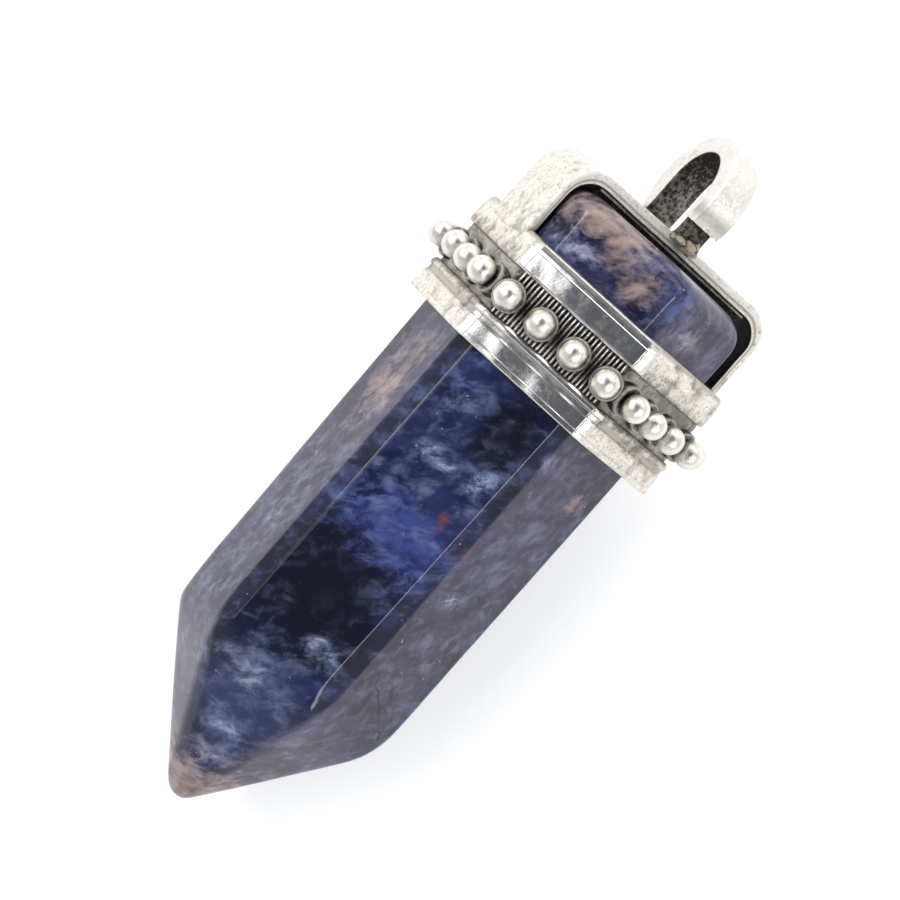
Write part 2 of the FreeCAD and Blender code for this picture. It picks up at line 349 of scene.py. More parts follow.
def make_stone_shell():
    """The stone's surface, found by halving along rays from the axis."""
    groups = stone_planes()
    angles = stone_angles()
    stone_lines = stone_rows()
    rows, columns = len(stone_lines), len(angles)
    slopes = [slope for _, slope in stone_lines]
    directions = outward(np.tile(angles, rows), np.repeat(slopes, columns))
    starts = np.zeros((rows * columns, 3))
    starts[:, 0] = np.repeat([start[0] for start, _ in stone_lines], columns)
    starts[:, 2] = np.repeat([start[1] for start, _ in stone_lines], columns)
    near, far = np.zeros(len(starts)), np.full(len(starts), LONGEST_RAY)
    for _ in range(HALVINGS):
        middle = (near + far) / 2
        outside = stone_field(starts + directions * middle[:, None], groups) > 0
        far = np.where(outside, middle, far)
        near = np.where(outside, near, middle)
    points = starts + directions * ((near + far) / 2)[:, None]
    shell = Shell()
    faces = grid(rows, columns) + cap_ends(rows, columns)
    shell.add(points, faces, **stone_values(points))
    return shell


# Where the stone's colours lie: centre, half sizes, weight
DARK_ZONES = (
    ((1.9, -8, 34.6), (2.0, 3, 2.4), 1.0),
    ((-0.6, -8, 18.4), (4.2, 3, 3.9), 1.3),
    ((6.0, 5, 20.0), (4.0, 4, 5.0), 0.9),
    ((-5.0, 6, 28.0), (3.0, 4, 6.0), 0.9),
    ((7.5, -4, 15.0), (2.0, 3, 2.2), 0.7),
    ((8.6, -4.4, 24.0), (2.4, 3, 11.0), 0.36),
)
COBALT_BANDS = (
    ((0.2, -8, 24.6), (4.6, 3, 2.6), 1.2),
    ((-3.0, -8, 36.0), (2.0, 3, 3.0), 0.6),
    ((7.0, -4, 27.0), (2.0, 3, 6.0), 0.6),
    ((4.2, -6, 49.0), (2.2, 4, 2.2), 0.9),
    ((-2.0, 8, 16.0), (5.0, 4, 4.0), 0.9),
    ((3.0, 8, 33.0), (4.0, 4, 3.0), 0.8),
)
PALE_CLOUDS = (
    ((-1.9, -8, 34.4), (1.3, 2, 0.9), 0.7),
    ((2.6, -8, 30.9), (1.2, 2, 1.7), 0.9),
    ((-0.8, -8, 30.2), (2.4, 2, 0.7), 1.0),
    ((-2.2, -8, 25.6), (1.5, 2, 0.8), 0.5),
    ((2.3, -8, 15.3), (1.4, 2, 0.8), 1.0),
    ((-2.4, -8, 16.7), (0.8, 2, 0.4), 0.7),
    ((0.0, -7, 10.8), (4.4, 4, 2.2), 0.55),
    ((0.9, -4, 7.0), (2.6, 3, 1.7), 0.6),
    ((1.0, -3, 4.3), (1.6, 3, 1.0), 0.7),
    ((5.3, -7, 35.4), (0.8, 2, 0.9), 0.8),
    ((7.6, -4, 31.0), (1.6, 2, 0.9), 0.5),
    ((-7.6, -4, 24.0), (1.4, 3, 2.6), 0.6),
    ((-6.6, -5, 14.0), (1.6, 3, 1.6), 0.7),
    ((4.6, -4, 9.0), (0.9, 2, 2.0), 0.7),
    ((7.4, -5, 27.4), (0.9, 2, 1.1), 0.9),
    ((6.5, -6, 23.6), (0.8, 2, 0.9), 0.9),
    ((8.4, -3, 21.0), (0.7, 2, 0.6), 0.8),
    ((-7.2, -5, 20.0), (2.0, 3, 4.0), 0.6),
    ((-4.0, 7, 12.0), (3.0, 3, 3.0), 0.8),
    ((5.0, 6, 30.0), (2.5, 3, 1.4), 0.8),
    ((-8.0, 3, 24.0), (2.5, 3, 2.0), 0.7),
    ((-5.0, -7, 48.5), (3.0, 3, 2.0), 0.6),
    ((6.0, -5, 47.2), (1.6, 3, 1.0), 0.6),
    ((-3.4, -7, 47.4), (2.4, 3, 0.9), 1.0),
    ((0.6, -7, 50.0), (1.6, 3, 0.8), 0.9),
)
PEACH_PATCHES = (
    ((-7.2, -5, 32.2), (1.6, 3, 4.2), 0.8),
    ((0.8, 0, 1.0), (3.2, 3, 4.0), 1.3),
    ((-2.2, -6, 50.0), (2.8, 4, 1.5), 1.5),
    ((-4.8, -6, 49.4), (1.8, 3, 1.4), 1.2),
    ((-0.6, -8, 48.6), (1.6, 2, 1.0), 0.8),
    ((1.6, -8, 48.1), (1.2, 2, 1.3), 1.0),
    ((6.6, -6, 47.7), (0.8, 2, 0.6), 0.8),
    ((8.0, -4, 34.3), (0.35, 2, 1.7), 1.0),
    ((5.1, -3, 6.4), (0.6, 2, 1.2), 0.7),
    ((2.0, 8, 24.0), (2.0, 3, 1.0), 0.8),
)
RUST_SPOTS = (
    ((2.6, -8.3, 27.4), (0.45, 2, 0.40), 1.2),
    ((5.0, -7.6, 26.7), (0.35, 2, 0.5), 0.7),
    ((8.0, -4, 34.0), (0.35, 2, 1.3), 0.7),
)
STONE_PATCHES = (
    ("dark", DARK_ZONES),
    ("cobalt", COBALT_BANDS),
    ("pale", PALE_CLOUDS),
    ("warm", PEACH_PATCHES),
    ("rust", RUST_SPOTS),
)


def by_facet(angles, table):
    """The table's value for the facet nearest to each angle."""
    nearest = (np.round(angles / 60.0) * 60) % 360
    return np.vectorize(table.get)(nearest.astype(int)).astype(float)


def stone_values(points):
    """How strong each of the stone's colours, its painted reflection and its painted shade are at
    each point.
    """
    values = {}
    warp = np.stack([waves(points, 5.0, 20 + axis) for axis in range(3)], axis=1) * 0.45
    for kind, patches in STONE_PATCHES:
        values[kind] = np.zeros(len(points))
        for centre, half, weight in patches:
            reach = ((points + warp - np.array(centre)) / np.array(half)) ** 2
            spot = weight * np.exp(-0.7 * reach.sum(axis=1))
            values[kind] = np.maximum(values[kind], spot)
    turn = np.degrees(np.arctan2(points[:, 0], -points[:, 1])) % 360.0
    # Painted reflection: facets that face the pale surround are painted grey, the two slanted front
    # ones most; the stone's end, from just under the collar's top, is greyer too
    grey = by_facet(turn, FACET_GREY_SHEEN)
    grey = np.where(points[:, 2] > COLLAR_HIGH_Z - 1.0, np.maximum(grey, 0.6), grey)
    # Painted shade: the bevels between the flats lose the grey and are painted darker, except near
    # the tip
    bevel = 1.0 - step(np.abs(turn % 60.0 - 30.0), 3.2, 6.4)
    bevel = bevel * step(points[:, 2], 5.0, 12.0)
    values["grey"] = grey * (1.0 - bevel)
    values["dark"] = np.maximum(values["dark"], bevel * 0.42)
    return values


def plane_reach(angles, facing, distance):
    """How far from the axis an upright plane is along each angle."""
    off = np.cos(np.radians(angles - facing))
    return np.where(off > 0.3, distance / np.maximum(off, 0.3), 99.0)


def hexagon_radius(angles, inradius):
    """Distance from the axis to a hexagon with cut corners, its edges slightly rounded."""
    cut = inradius / math.cos(math.pi / 6) - CORNER_CUT / 2
    reach = []
    for flat in FACETS:
        reach.append(plane_reach(angles, flat, inradius))
        reach.append(plane_reach(angles, flat + 30, cut))
    return -soft_max(-np.array(reach), 12.0)


def stone_radius(angles, z):
    """Distance from the axis to the cap's inner side, just clear of the stone."""
    reach = []
    for turn, distance, taper in STONE_SIDES:
        lean = math.radians(taper)
        clear = STONE_CLEARANCE / math.cos(lean)
        span = distance + (z - COLLAR_LOW_Z) * math.tan(lean) + clear
        reach.append(plane_reach(angles, turn, span))
    return np.array(reach).min(axis=0)


def collar_angles():
    """Angles round the collar, closer together where its corners are cut."""
    spread = [np.arange(0.0, 360.0, 1.25)]
    for corner in range(30, 360, 60):
        for side in (-2.25, 2.25):
            spread.append(corner + side + np.arange(-1.2, 1.3, 0.3))
    return np.unique(np.round(np.concatenate(spread) % 360.0, 2))


def facet_matte(angles):
    """How matte the cast skin is at each angle. Its corners are rubbed bright."""
    corner = np.abs((angles % 60.0) - 30.0)
    return np.where(corner < 2.6, 0.15, by_facet(angles, FACET_MATTE))


# Dents in the collar's rim: angle round the axis, height, half width, half height, depth
DENTS = (
    (50.0, 45.85, 0.60, 0.28, 0.42),
    (72.0, 45.55, 0.40, 0.55, 0.38),
    (-49.0, 38.6, 0.5, 0.35, 0.12),
    (63.0, 44.6, 0.35, 0.25, 0.12),
    (118.0, 45.7, 0.5, 0.4, 0.25),
    (236.0, 39.0, 0.5, 0.3, 0.12),
)


def rim_dents(turn, z):
    """How deep the rim is dented at each point, and how much patina the dents hold."""
    depths, dirt = np.zeros(len(z)), np.zeros(len(z))
    for angle, height, wide, high, depth in DENTS:
        away = np.abs((turn - angle + 180) % 360 - 180) * math.radians(1) * COLLAR_INRADIUS
        dent = np.exp(-((away / wide) ** 2) - ((z - height) / high) ** 2)
        depths += depth * dent
        dirt = np.maximum(dirt, dent * min(1.0, depth * 4))
    return depths, dirt


def front_wear(points, turn):
    """The front of the collar is worn back more and more to the left."""
    front = np.exp(-((((turn + 180) % 360 - 180) / 32.0) ** 8))
    left = np.minimum(points[:, 0] - 0.8, 0.0)
    return 0.0065 * left**2 * front


def border(shell, profile, inner_low, inner_high, inradius, seed):
    """A cast border: its outer profile of (inset, height) and a plain side to the stone."""
    angles = collar_angles()
    count = len(angles)
    insets, levels = np.array(profile).T
    radii = [hexagon_radius(angles, inradius - inset) for inset in insets]
    radii += [stone_radius(angles, z) for z in (inner_high, inner_low)]
    heights = np.append(levels, (inner_high, inner_low))
    z = np.repeat(heights, count)
    turn = np.tile(angles, len(heights))
    points = outward(turn) * np.concatenate(radii)[:, None]
    points[:, 2] = z

    depths, dirt = rim_dents(turn, z)
    move = waves(points, 6.5, seed) * 0.055 + waves(points, 2.0, seed + 1) * 0.012 - 0.04
    move -= front_wear(points, turn) + depths
    free = np.ones(len(heights))
    free[0] = 0.0
    free[len(profile) - 1 :] = 0.0
    facing = outward(np.round(turn / 60.0) * 60.0)
    points += facing * (move * np.repeat(free, count))[:, None]

    matte = np.tile(facet_matte(angles), len(heights))
    grooves = np.append(step(insets, 0.1, 0.2) * 0.4, (0.9, 0.9))
    stain = 1.0 - step(np.abs(heights - BEAD_Z), 1.7, 3.5)
    stain = np.repeat(stain, count) * (0.3 + 0.7 * matte)
    dark = np.maximum(np.repeat(grooves, count), stain * 0.16)
    dark = np.maximum(dark, dirt * 0.5)

    faces = grid(len(heights), count)
    last = (len(heights) - 1) * count
    for column in range(count):
        following = (column + 1) % count
        faces.append((last + column, last + following, following, column))
    shell.add(points, faces, matte=matte, patina=dark, grime=stain)


def bend_profile(corners):
    """Rounds the corners of a profile. Each is (inset, height, radius)."""
    line = []
    for index, (inset, z, radius) in enumerate(corners):
        here = np.array((inset, z))
        if radius == 0 or index in (0, len(corners) - 1):
            line.append(here)
            continue
        back = np.array(corners[index - 1][:2]) - here
        onward = np.array(corners[index + 1][:2]) - here
        start = here + back / np.linalg.norm(back) * radius
        end = here + onward / np.linalg.norm(onward) * radius
        for share in np.linspace(0, 1, BEND_STEPS + 1):
            line.append((1 - share) ** 2 * start + 2 * share * (1 - share) * here + share**2 * end)
    return line


def add_between(line):
    """The same profile with long stretches divided, so that dents have points to move."""
    filled = [line[0]]
    for following in line[1:]:
        span = np.linalg.norm(following - filled[-1])
        pieces = max(1, int(math.ceil(span / LONGEST_STEP)))
        start = filled[-1]
        for piece in range(1, pieces + 1):
            filled.append(start + (following - start) * piece / pieces)
    return [tuple(point) for point in filled]


# Profiles of the two borders: inset from the collar's flats, height, radius of the corner
LOWER_BORDER = (
    (0.75, COLLAR_LOW_Z, 0),
    (0.0, COLLAR_LOW_Z, 0.16),
    (0.0, COLLAR_LOW_Z + 0.42, 0.05),
    (0.07, COLLAR_LOW_Z + 0.48, 0.03),
    (0.06, 39.28, 0.05),
    (0.20, 39.42, 0.06),
    (0.20, 39.74, 0.06),
    (0.04, 39.88, 0.06),
    (0.04, 40.12, 0.08),
    (0.22, CHANNEL_LOW_Z, 0.05),
    (0.60, CHANNEL_LOW_Z, 0),
)
UPPER_BORDER = (
    (0.50, CHANNEL_HIGH_Z, 0),
    (0.08, CHANNEL_HIGH_Z, 0.10),
    (0.0, CHANNEL_HIGH_Z + 0.28, 0.08),
    (0.02, 45.42, 0.05),
    (0.08, 45.50, 0.03),
    (0.06, 45.66, 0.05),
    (0.22, 46.08, 0.10),
    (0.42, COLLAR_HIGH_Z, 0.05),
    (0.80, COLLAR_HIGH_Z, 0),
)


def make_borders(shell):
    """The collar's smooth borders, below and above the channel."""
    line = add_between(bend_profile(LOWER_BORDER))
    border(shell, line, COLLAR_LOW_Z, CHANNEL_LOW_Z, COLLAR_INRADIUS + 0.1, 31)
    line = add_between(bend_profile(UPPER_BORDER))
    border(shell, line, CHANNEL_HIGH_Z, COLLAR_HIGH_Z, COLLAR_INRADIUS, 41)


# Ribs from their lower to their upper ends: height, share of the rib's swell
RIB_LEVELS = ((40.2, 0.4), (40.4, 0.9), (40.75, 1.0), (41.2, 0.9), (41.9, 1.0))
RIB_LEVELS += ((42.6, 0.95), (43.1, 1.1), (43.4, 1.45), (43.62, 1.25), (43.9, 0.5))
# Section of one rib: place in its pitch, share of the rib's swell
RIB_SHAPE = ((-0.5, 0.0), (-0.36, 0.06), (-0.24, 0.55), (-0.12, 0.95), (0.0, 1.05))
RIB_SHAPE += ((0.12, 0.95), (0.24, 0.55), (0.36, 0.06))


def rib_columns():
    """The channel floor's upright lines: facet, place across it, share of the rib's swell."""
    half = CHANNEL_FLOOR * math.tan(math.pi / 6) - CORNER_CUT
    columns = []
    for angle in FACETS:
        columns.append((angle, -half, 0.0))
        for rib in range(RIBS_PER_FACET):
            middle = (rib - (RIBS_PER_FACET - 1) / 2) * RIB_PITCH
            middle += random.normal(0, 0.008)
            tall = 1.0 + random.normal(0, 0.14)
            for place, height in RIB_SHAPE:
                columns.append((angle, middle + place * RIB_PITCH, height * tall))
        columns.append((angle, half, 0.0))
    return np.array(columns).T


def make_ribs(shell):
    """The dark channel floor with its fine upright ribs, taller at their upper ends."""
    angle, place, height = rib_columns()
    slanted = np.isin(angle, SLANTED_FACETS)
    rows = []
    for z, swell in RIB_LEVELS:
        tall = np.where(slanted, 0.28, 1.0) * swell * RIB_HEIGHT
        row = outward(angle) * (CHANNEL_FLOOR + height * tall)[:, None]
        row = row + along(angle) * place[:, None]
        row[:, 2] = z
        rows.append(row)
    crest = np.tile(height, len(RIB_LEVELS))
    cast = np.tile(slanted, len(RIB_LEVELS))
    dark = np.clip(np.where(cast, 0.44 - crest * 0.26, 1.25 - crest * 1.1), 0.0, 1.0)
    matte = np.where(cast, 0.9, 0.3)
    faces = grid(len(RIB_LEVELS), len(angle))
    shell.add(np.concatenate(rows), faces, matte=matte, patina=dark, grime=cast * 1.3)


def ball(sides, bands):
    """Points and faces of a ball of radius 1."""
    rings = []
    for band in range(bands + 1):
        turn = math.pi * band / bands
        wide = math.sin(turn)
        for side in range(sides):
            around = 2 * math.pi * side / sides
            rings.append((math.cos(turn), wide * math.cos(around), wide * math.sin(around)))
    return np.array(rings), grid(bands + 1, sides)


def turned(points, angle):
    """Points given as (out from the axis, across, up), turned to face an angle."""
    return (
        outward(angle) * points[:, :1]
        + along(angle) * points[:, 1:2]
        + np.array((0, 0, 1.0)) * points[:, 2:]
    )


# Seat under a bead: distance from the axis, share of its radius, patina
SEAT_PROFILE = (
    (9.0, 1.0, 1.0),
    (9.55, 1.0, 0.9),
    (9.78, 1.0, 0.6),
    (9.86, 0.96, 0.5),
    (9.9, 0.86, 0.8),
    (9.88, 0.6, 1.0),
)
SEAT_SIDES = 32


def make_bead(shell, angle, shift, z, radius, seed):
    """A slightly uneven ball, darker where it meets its seat."""
    unit, faces = ball(32, 18)
    lumps = 1.0 + waves(unit, 2.2, seed) * 0.008
    body = unit * lumps[:, None] * radius
    body = body + np.array((BEAD_DISTANCE + BEAD_RADIUS - radius - 0.01, shift, z))
    low = np.clip((10.35 - body[:, 0]) / 0.5, 0, 1)
    shell.add(turned(body, angle), faces, matte=0.2, patina=low * 0.9 + 0.11, warm=0.12)


def make_seat(shell, angle, shift, z):
    """The low round seat under a bead."""
    sides = np.linspace(0, 2 * math.pi, SEAT_SIDES + 1)[:-1]
    rows = []
    for reach, share, _ in SEAT_PROFILE:
        across = shift + SEAT_RADIUS * share * np.cos(sides)
        up = z + SEAT_RADIUS * share * np.sin(sides)
        rows.append(np.stack((np.full(SEAT_SIDES, reach), across, up), axis=1))
    seat = np.concatenate(rows)
    dark = np.repeat([patina for _, _, patina in SEAT_PROFILE], SEAT_SIDES)
    faces = grid(len(SEAT_PROFILE), SEAT_SIDES)
    shell.add(turned(seat, angle), faces, matte=0.5, patina=dark)


def make_beads(shell):
    """Four beads on each facet. Those that the pendant rests on are exactly in line."""
    for angle in FACETS:
        for place in range(BEADS_PER_FACET):
            drift = random.normal(0, 0.03, 2)
            if angle == RESTING_FACET:
                drift = drift * 0.0
            shift = (place - (BEADS_PER_FACET - 1) / 2) * BEAD_PITCH + drift[0]
            z = BEAD_Z + drift[1]
            radius = BEAD_RADIUS * (1.0 - abs(random.normal(0, 0.008)))
            make_bead(shell, angle, shift, z, radius, angle + place)
            make_seat(shell, angle, shift, z)


def rounded_section(wide, thick, edge, steps, across, through):
    """A rounded rectangle: (across, from inside to outside) pairs, as a closed loop."""
    half = wide / 2
    loop = []
    corners = (
        (half - edge, thick - edge, 0),
        (edge - half, thick - edge, 90),
        (edge - half, edge, 180),
        (half - edge, edge, 270),
    )
    for index, (w, u, start) in enumerate(corners):
        for share in range(steps + 1):
            turn = math.radians(start + 90 * share / steps)
            loop.append((w + edge * math.cos(turn), u + edge * math.sin(turn)))
        far = corners[(index + 1) % 4]
        count = across if index in (0, 2) else through
        last = loop[-1]
        for share in range(1, count):
            if index in (0, 2):
                loop.append((w + (far[0] - w) * share / count, last[1]))
            else:
                loop.append((last[0], u + (far[1] - u) * share / count))
    return loop


def swept(pairs, wide, edge, counts):
    """A bar between pairs of inner and outer (place, height) points.

    It gives its points as (place, across, height), which way is out at each of them, and
    its last section.
    """
    points, lifts = [], []
    for inner, outer in pairs:
        inner, outer = np.array(inner), np.array(outer)
        thick = np.linalg.norm(outer - inner)
        direction = (outer - inner) / thick
        loop = np.array(rounded_section(wide, thick, edge, *counts))
        flat = inner + loop[:, 1:] * direction
        points.append(np.stack((flat[:, 0], loop[:, 0], flat[:, 1]), axis=1))
        lifts.append(np.tile((direction[0], 0.0, direction[1]), (len(loop), 1)))
    return np.concatenate(points), np.concatenate(lifts), loop


def arch_line(half, corner, high_z):
    """A line up one leg, over the stone's end and down the other, as (across, height)."""
    line = [(-half, z) for z in np.linspace(STRAP_FOOT_Z, high_z - corner, LEG_POINTS)]
    for turn in np.radians(np.linspace(0, 90, BEND_POINTS)[1:]):
        across = corner * (1 - math.cos(turn)) - half
        line.append((across, high_z - corner + corner * math.sin(turn)))
    plate = np.linspace(corner - half, half - corner, PLATE_POINTS)[1:-1]
    leg = line[:]
    line += [(x, high_z) for x in plate]
    line += [(-x, z) for x, z in leg[::-1]]
    return line


def plate_grooves(x, z):
    """How far the plate's top is cut at a place, where it has its two fine grooves."""
    if z < STRAP_TOP_Z - 0.5:
        return 0.0
    cuts = [math.exp(-(((x - groove) / GROOVE_WIDTH) ** 2)) for groove in PLATE_GROOVES]
    return GROOVE_DEPTH * sum(cuts)


def make_strap(shell):
    """The two legs and the plate over the stone's flat end, as one bent bar."""
    inner = arch_line(STRAP_INNER, STRAP_INNER_CORNER, STRAP_UNDER_Z)
    outer = arch_line(COLLAR_INRADIUS, STRAP_OUTER_CORNER, STRAP_TOP_Z)
    outer = [(x, z - plate_grooves(x, z)) for x, z in outer]
    points, lifts, loop = swept(list(zip(inner, outer)), STRAP_WIDTH, STRAP_EDGE, (3, 14, 8))
    rows, columns = len(inner), len(loop)
    move = waves(points, 4.0, 51) * 0.045 + waves(points, 1.3, 52) * 0.016 - 0.02
    points += lifts * move[:, None]
    # Painted shade: the strap's inner side, against the stone, is painted black
    inside = np.array([1.0 if u < 0.1 else 0.0 for _, u in loop])
    # A thin dark line along the strap's front and back edge faces, near its inner side
    edge_line = np.array([math.exp(-(((u - 0.27) / 0.05) ** 2)) * (abs(w) > 3.0) for w, u in loop])
    dark = np.maximum(inside * 1.15, np.maximum(edge_line * 0.7, 0.05))
    grime = np.exp(-(((points[:, 2] - 45.4) / 1.9) ** 2)) * 0.8
    faces = grid(rows, columns) + cap_ends(rows, columns)
    points = turned(points, STRAP_ANGLE)
    shell.add(points, faces, matte=0.75, patina=np.tile(dark, rows), grime=grime)


def ring_lines():
    """The bail's eye and outer edge, from its back over its top to its front ledge."""
    ring_z = BAIL_TOP_Z - BAIL_RADIUS
    hole_z = BAIL_HOLE_TOP_Z - BAIL_HOLE_RADIUS
    back = math.acos((STRAP_TOP_Z - 0.25 - ring_z) / BAIL_RADIUS)
    front = math.acos((BAIL_LEDGE_Z - ring_z) / BAIL_RADIUS)
    pairs = []
    for turn in np.linspace(-back, front, 110):
        sine, cosine = math.sin(turn), math.cos(turn)
        outer = (BAIL_RADIUS * sine, ring_z + BAIL_RADIUS * cosine)
        inner = (BAIL_HOLE_RADIUS * sine, hole_z + BAIL_HOLE_RADIUS * cosine)
        if cosine < 0:
            inner = (math.copysign(BAIL_HOLE_RADIUS, turn), min(hole_z, outer[1]))
        pairs.append((inner, outer))
    return pairs


def make_ring(shell):
    """The bail's broad ring: down to the strap behind, and to a ledge in front."""
    pairs = ring_lines()
    points, lifts, loop = swept(pairs, BAIL_WIDTH, BAIL_EDGE, (4, 12, 8))
    points, lifts = points[:, (1, 0, 2)], lifts[:, (1, 0, 2)]
    rows, columns = len(pairs), len(loop)
    move = waves(points, 3.0, 61) * 0.04 + waves(points, 1.0, 62) * 0.014 - 0.03
    points = points + lifts * move[:, None]
    # Painted shade: the eye's inner side is painted nearly black, darkest towards its top
    inside = np.tile([1.0 if u < 0.12 else 0.0 for _, u in loop], rows)
    inside = inside * (0.83 + 0.17 * step(points[:, 2], 53.6, 57.6))
    # Patina and painted shade on the ring's front just above the ledge, where it turns under
    underside_patina_and_shade = np.exp(-(((points[:, 2] - 54.9) / 0.7) ** 2)) * (points[:, 1] > 3.3) * 0.5
    dark = np.maximum(0.08 + inside * 0.93, underside_patina_and_shade)
    faces = grid(rows, columns, flip=True) + cap_ends(rows, columns, flip=True)
    shell.add(turned(points, STRAP_ANGLE), faces, matte=0.42, patina=dark)


# Foot below the bail's ledge: height, how much it spreads
FOOT_LEVELS = ((52.2, 1.30), (52.42, 1.22), (52.6, 1.08), (52.9, 1.0), (53.5, 0.97), (54.2, 1.0))


def make_foot(shell):
    """The narrow foot below the bail's ledge, which spreads where it meets the plate."""
    deep = NECK_HALF - BAIL_HOLE_RADIUS
    middle = (NECK_HALF + BAIL_HOLE_RADIUS) / 2
    loop = np.array(rounded_section(NECK_WIDTH, deep, NECK_EDGE, 3, 8, 5))
    rows = []
    for z, grow in FOOT_LEVELS:
        across = loop[:, 0] * (1.0 + (grow - 1.0) * 0.7)
        reach = middle + (loop[:, 1] - deep / 2) * grow
        rows.append(np.stack((across, reach, np.full(len(loop), z)), axis=1))
    foot = np.concatenate(rows)
    foot[:, 1] += waves(foot, 0.9, 71) * 0.03
    faces = grid(len(rows), len(loop)) + cap_ends(len(rows), len(loop))
    # Patina and painted shade: the foot is darker up under the ledge than where it meets the plate
    dark = np.where(foot[:, 2] > 52.55, 0.9, 0.55)
    shell.add(turned(foot, STRAP_ANGLE), faces, matte=0.8, patina=dark, warm=0.35)


def slab(half_long, half_deep, low_z, high_z):
    """The corners of a level slab over the stone's flat end, the lower four first."""
    corners = []
    for z in (low_z, high_z):
        for across, deep in ((-1, -1), (1, -1), (1, 1), (-1, 1)):
            corners.append((across * half_long, deep * half_deep, z))
    return np.array(corners)


def make_packing(shell):
    """A black slab of painted shade in the slit between the stone and the plate, with a metal lip in
    it.
    """
    faces = grid(2, 4) + cap_ends(2, 4)
    high_z = STRAP_UNDER_Z + 0.05
    slit_shade = slab(*SLIT_SHADE_HALVES, STONE_TOP_Z - 0.35, high_z)
    shell.add(turned(slit_shade, STRAP_ANGLE), faces, matte=1.0, patina=1.0)
    lip = slab(*LIP_HALVES, STRAP_UNDER_Z - 0.2, high_z)
    shell.add(turned(lip, STRAP_ANGLE), faces, matte=0.7, patina=0.2)


# Grains of solder at the bail's foot: centre, half sizes, seed of their roughness
SOLDER_GRAINS = (
    ((2.0, -3.3, 52.4), (0.5, 0.45, 0.5), 81),
    ((1.35, -3.75, 52.4), (0.36, 0.3, 0.3), 82),
    ((2.3, -2.75, 52.75), (0.28, 0.3, 0.34), 83),
    ((-1.7, 2.9, 52.45), (0.5, 0.5, 0.4), 84),
)


def make_solder(shell):
    """The rough grains of solder at the foot of the bail."""
    unit, faces = ball(28, 18)
    for centre, half, seed in SOLDER_GRAINS:
        rough = 1.0 + waves(unit, 1.3, seed) * 0.22 + waves(unit, 0.5, seed + 1) * 0.09
        body = unit * rough[:, None] * np.array(half) + np.array(centre)
        shell.add(body, faces, matte=1.0, patina=0.4, warm=0.8)


def make_cap_shell():
    """The whole cap: collar, beads, strap and bail."""
    shell = Shell()
    make_borders(shell)
    make_ribs(shell)
    make_beads(shell)
    make_strap(shell)
    make_ring(shell)
    make_foot(shell)
    make_packing(shell)
    make_solder(shell)
    return shell


def node(tree, kind, inputs=None, **settings):
    """A node whose inputs are plain values or other nodes' outputs."""
    made = tree.nodes.new(kind)
    for name, value in settings.items():
        setattr(made, name, value)
    for key, value in (inputs or {}).items():
        if isinstance(value, bpy.types.NodeSocket):
            tree.links.new(value, made.inputs[key])
        else:
            made.inputs[key].default_value = value
    return made


def new_material(name):
    """A new material and its empty node tree."""
    material = bpy.data.materials.new(name)
    material.use_nodes = True
    material.node_tree.nodes.clear()
    return material, material.node_tree


def shade(tree, inputs):
    """Gives the material its shader, with these inputs."""
    shader = node(tree, "ShaderNodeBsdfPrincipled", inputs)
    node(tree, "ShaderNodeOutputMaterial", {"Surface": shader.outputs["BSDF"]})


def read(tree, name, socket="Fac"):
    """The value that the piece's points have under a name."""
    return node(tree, "ShaderNodeAttribute", attribute_name=name).outputs[socket]


def math_node(tree, operation, a, b=0.0, c=0.0, clamp=False):
    """One sum on up to three values."""
    return node(
        tree, "ShaderNodeMath", {0: a, 1: b, 2: c}, operation=operation, use_clamp=clamp
    ).outputs[0]


def times(tree, a, b):
    """One value times another."""
    return math_node(tree, "MULTIPLY", a, b)


def ramp(tree, value, low, high, to_low=0.0, to_high=1.0):
    """A smooth change from to_low to to_high, while the value goes from low to high."""
    inputs = {"Value": value, "From Min": low, "From Max": high, "To Min": to_low, "To Max": to_high}
    return node(
        tree, "ShaderNodeMapRange", inputs, interpolation_type="SMOOTHSTEP", clamp=True
    ).outputs[0]


def mix(tree, share, a, b):
    """Colour a where the share is 0 and colour b where it is 1."""
    inputs = {0: share, 6: a, 7: b}
    return node(tree, "ShaderNodeMix", inputs, data_type="RGBA", clamp_factor=True).outputs[2]


def noise(tree, vector, scale, detail, rough, distortion=0.0):
    """Soft cloudy noise about 0.5."""
    inputs = {
        "Vector": vector,
        "Scale": scale,
        "Detail": detail,
        "Roughness": rough,
        "Distortion": distortion,
    }
    return node(tree, "ShaderNodeTexNoise", inputs).outputs["Fac"]


def veins(tree, vector, scale, width, distortion):
    """Thin wandering lines, 1 on a line and 0 away from it."""
    field = noise(tree, vector, scale, 3.0, 0.5, distortion)
    off = math_node(tree, "ABSOLUTE", math_node(tree, "SUBTRACT", field, 0.5))
    return ramp(tree, off, 0.0, width, 1.0, 0.0)


def dot(tree, a, b):
    """How far one vector reaches along another."""
    made = node(tree, "ShaderNodeVectorMath", {0: a, 1: b}, operation="DOT_PRODUCT")
    return made.outputs["Value"]


